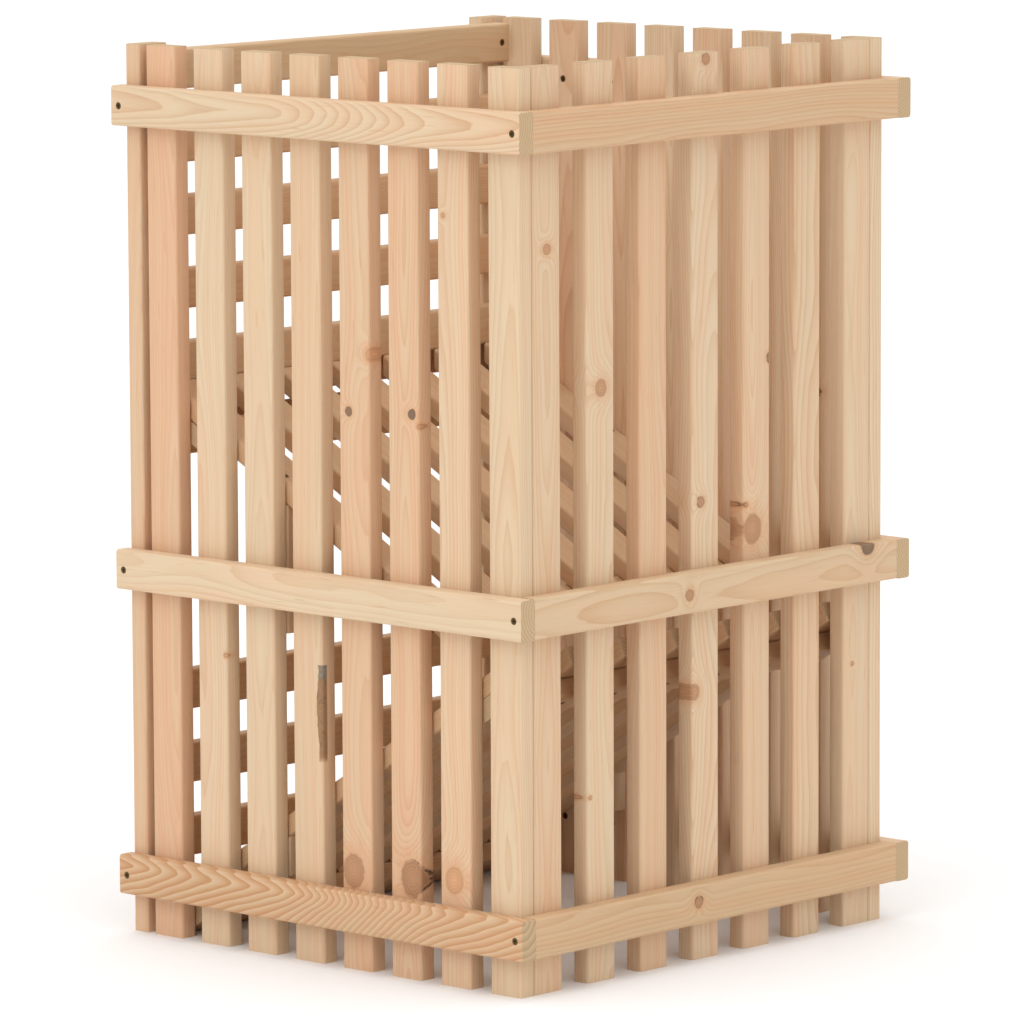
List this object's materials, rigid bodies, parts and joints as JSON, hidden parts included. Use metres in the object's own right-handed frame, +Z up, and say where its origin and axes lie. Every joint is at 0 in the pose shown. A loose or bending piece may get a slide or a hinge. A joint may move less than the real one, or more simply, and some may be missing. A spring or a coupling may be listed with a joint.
{
  "type": "slatted gravity-feed bin",
  "caption": "Tall open-top pine slat bin with outer rails, a hand opening in the front wall and two inner ramps that bring the contents down to it.",
  "frame": {"origin": "centre of the bounding box's foot, on the floor", "axes": "+Z up; the front wall with the hand opening faces -Y; the side walls face +X and -X"},
  "size_m": [0.654, 0.614, 1.005],
  "materials": {
    "pine": "planed, untreated",
    "zinc_screw": "dull yellow zinc"
  },
  "bodies": {
    "root": {"back_rail_bottom": "pine", "back_rail_middle": "pine", "back_rail_top": "pine", "back_slat_1": "pine", "back_slat_2": "pine", "back_slat_3": "pine", "back_slat_4": "pine", "back_slat_5": "pine", "back_slat_6": "pine", "back_slat_7": "pine", "back_slat_screws": "zinc_screw", "block_screws": "zinc_screw", "board_screws": "zinc_screw", "front_rail_upper": "pine", "left_post": "pine", "left_rail_bottom": "pine", "left_rail_middle": "pine", "left_rail_top": "pine", "left_slat_1": "pine", "left_slat_2": "pine", "left_slat_3": "pine", "left_slat_4": "pine", "left_slat_5": "pine", "left_slat_6": "pine", "left_slat_7": "pine", "left_slat_8": "pine", "lower_board_1": "pine", "lower_board_2": "pine", "lower_board_3": "pine", "lower_board_4": "pine", "lower_ramp_battens": "pine", "lower_ramp_slats": "pine", "rail_end_screws": "zinc_screw", "ramp_screws": "zinc_screw", "right_post": "pine", "right_rail_bottom": "pine", "right_rail_middle": "pine", "right_rail_top": "pine", "right_slat_1": "pine", "right_slat_2": "pine", "right_slat_3": "pine", "right_slat_4": "pine", "right_slat_5": "pine", "right_slat_6": "pine", "right_slat_7": "pine", "right_slat_8": "pine", "side_slat_screws": "zinc_screw", "support_blocks": "pine", "upper_board_1": "pine", "upper_board_2": "pine", "upper_board_3": "pine", "upper_board_4": "pine", "upper_board_5": "pine", "upper_board_6": "pine", "upper_ramp_battens": "pine", "upper_ramp_slats": "pine"}
  },
  "joints": []
}
